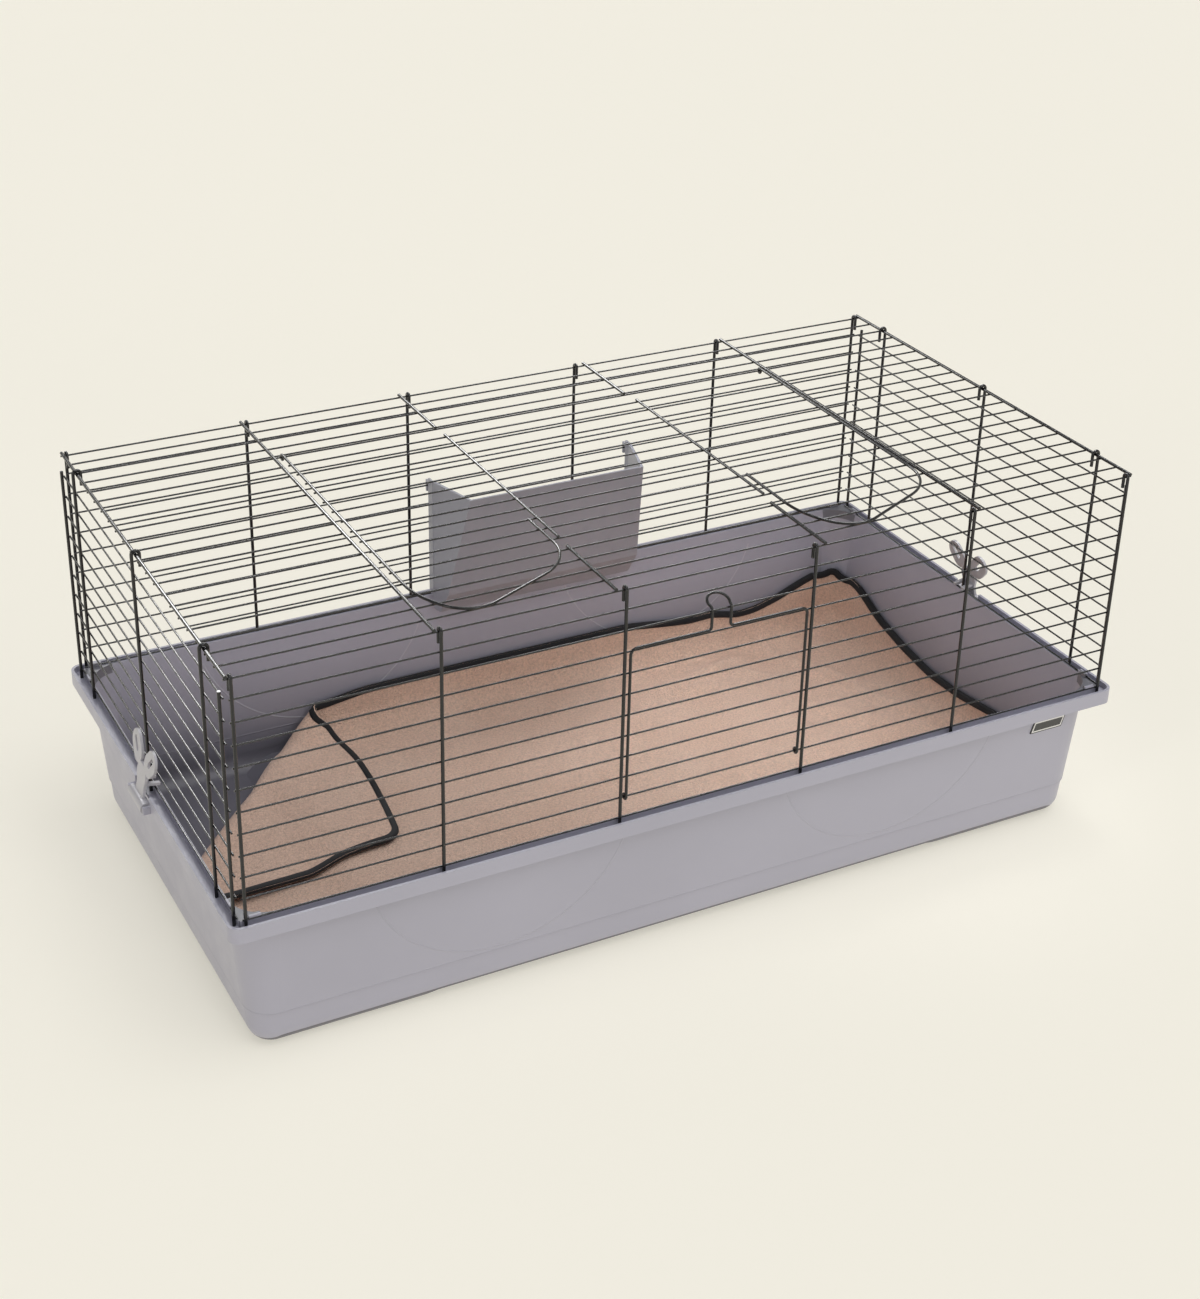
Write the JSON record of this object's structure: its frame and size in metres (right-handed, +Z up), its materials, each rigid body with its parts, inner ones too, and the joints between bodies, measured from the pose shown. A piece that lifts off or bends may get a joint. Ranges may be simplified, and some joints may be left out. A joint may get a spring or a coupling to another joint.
{
  "type": "rabbit hutch",
  "caption": "Indoor rabbit hutch: a deep moulded tub under a wire cage with a drop-down front door, a lift-up top door, side clips, a hay rack and a bound fleece liner.",
  "frame": {"origin": "on the ground, under the middle of the tub", "axes": "+X along the long side, to the right seen from the front door; +Y to the back; +Z up"},
  "size_m": [1.183, 0.6132, 0.4925],
  "materials": {
    "tub_plastic": "satin injection-moulded grey plastic",
    "rack_plastic": "satin injection-moulded grey plastic",
    "clip_plastic": "satin injection-moulded grey plastic",
    "black_wire": "glossy black lacquer over steel wire",
    "fleece": "short-pile fleece",
    "binding": "woven binding tape",
    "badge": "gloss label plate"
  },
  "bodies": {
    "tub_and_cage": {"back_panel_rungs": "black_wire", "back_panel_uprights": "black_wire", "badge_plate": "badge", "fleece_liner": "fleece", "front_panel_rungs": "black_wire", "front_panel_uprights": "black_wire", "left_panel_rungs": "black_wire", "left_panel_uprights": "black_wire", "liner_binding": "binding", "right_panel_rungs": "black_wire", "right_panel_uprights": "black_wire", "top_panel_bars": "black_wire", "top_panel_wires": "black_wire", "tub": "tub_plastic"},
    "front_door": {"front_door_frame": "black_wire", "front_door_rungs": "black_wire"},
    "top_door": {"top_door_side_wires": "black_wire", "top_door_bars": "black_wire", "top_door_wires": "black_wire"},
    "left_clip": {"left_clip": "clip_plastic"},
    "right_clip": {"right_clip": "clip_plastic"},
    "hay_rack": {"hay_rack": "rack_plastic"}
  },
  "joints": [
    {"name": "front_door_hinge", "type": "hinge", "parent": "tub_and_cage", "child": "front_door", "pos_m": [0, -0.2939, 0.2197], "axis": [1, 0, 0], "range_deg": [0, 140]},
    {"name": "top_door_hinge", "type": "hinge", "parent": "tub_and_cage", "child": "top_door", "pos_m": [0.003, 0.18169, 0.483], "axis": [-1, 0, 0], "range_deg": [0, 150]},
    {"name": "left_clip_pivot", "type": "hinge", "parent": "tub_and_cage", "child": "left_clip", "pos_m": [-0.5845, 0, 0.177], "axis": [0, -1, 0], "range_deg": [0, 110]},
    {"name": "right_clip_pivot", "type": "hinge", "parent": "tub_and_cage", "child": "right_clip", "pos_m": [0.5845, 0, 0.177], "axis": [0, 1, 0], "range_deg": [0, 110]},
    {"name": "hay_rack_lift", "type": "slide", "parent": "tub_and_cage", "child": "hay_rack", "axis": [0, 0, 1], "range_m": [0, 0.018]}
  ]
}
